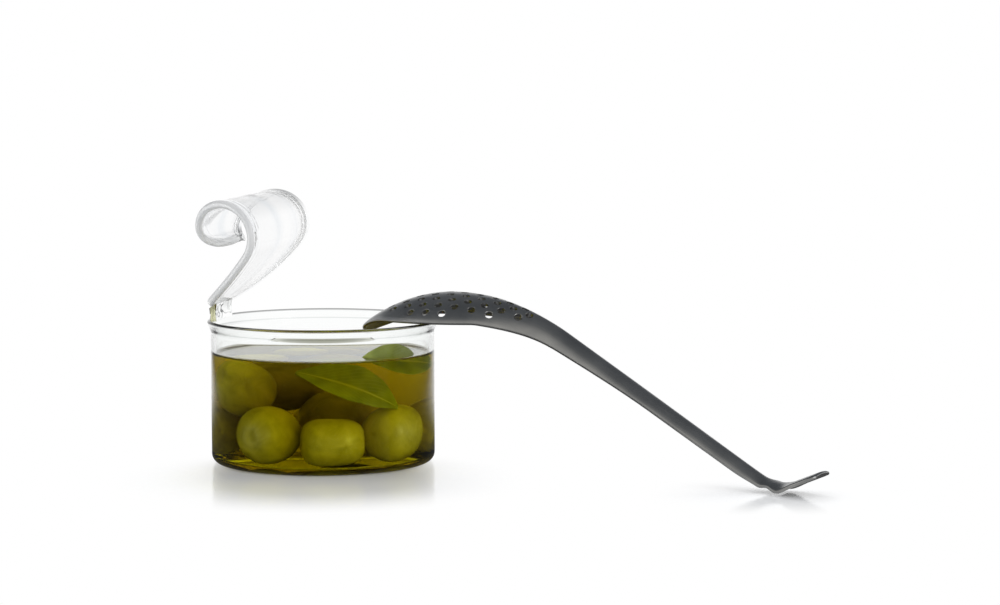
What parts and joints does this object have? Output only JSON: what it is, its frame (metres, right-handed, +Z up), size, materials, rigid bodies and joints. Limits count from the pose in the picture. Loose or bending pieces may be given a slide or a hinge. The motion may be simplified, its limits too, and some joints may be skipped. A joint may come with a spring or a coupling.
{
  "type": "glass storage jar",
  "caption": "Low round glass storage jar shaped like an opened can with a rolled-back glass lid, holding olives in oil, with a pierced serving spoon resting on its rim.",
  "frame": {"origin": "centre of the jar's flat bottom, on the table", "axes": "+Z up along the jar's axis, +X towards the spoon's handle side, the lid rolled back at -X"},
  "size_m": [0.2595, 0.1578, 0.1144],
  "materials": {
    "jar_glass": "clear blown borosilicate glass, fire-polished edges",
    "oil": "clear yellow-green olive oil",
    "olive": "smooth green olive skin",
    "leaf": "green leaf with a raised midrib",
    "spoon_steel": "dark tumbled stainless steel"
  },
  "bodies": {
    "jar": {"jar_body": "jar_glass", "lid_bridge": "jar_glass", "lid_curl": "jar_glass", "oil": "oil", "olive_front_left": "olive", "olive_front": "olive", "olive_front_right": "olive", "olive_back_right": "olive", "olive_back": "olive", "olive_left": "olive", "olive_centre": "olive", "olive_upper_left": "olive", "olive_upper_back": "olive", "leaf_front": "leaf", "leaf_right": "leaf"},
    "spoon": {"spoon": "spoon_steel"}
  },
  "joints": [
    {"name": "spoon_lift", "type": "slide", "parent": "jar", "child": "spoon", "axis": [0, 0, 1], "range_m": [0, 0.12]}
  ]
}
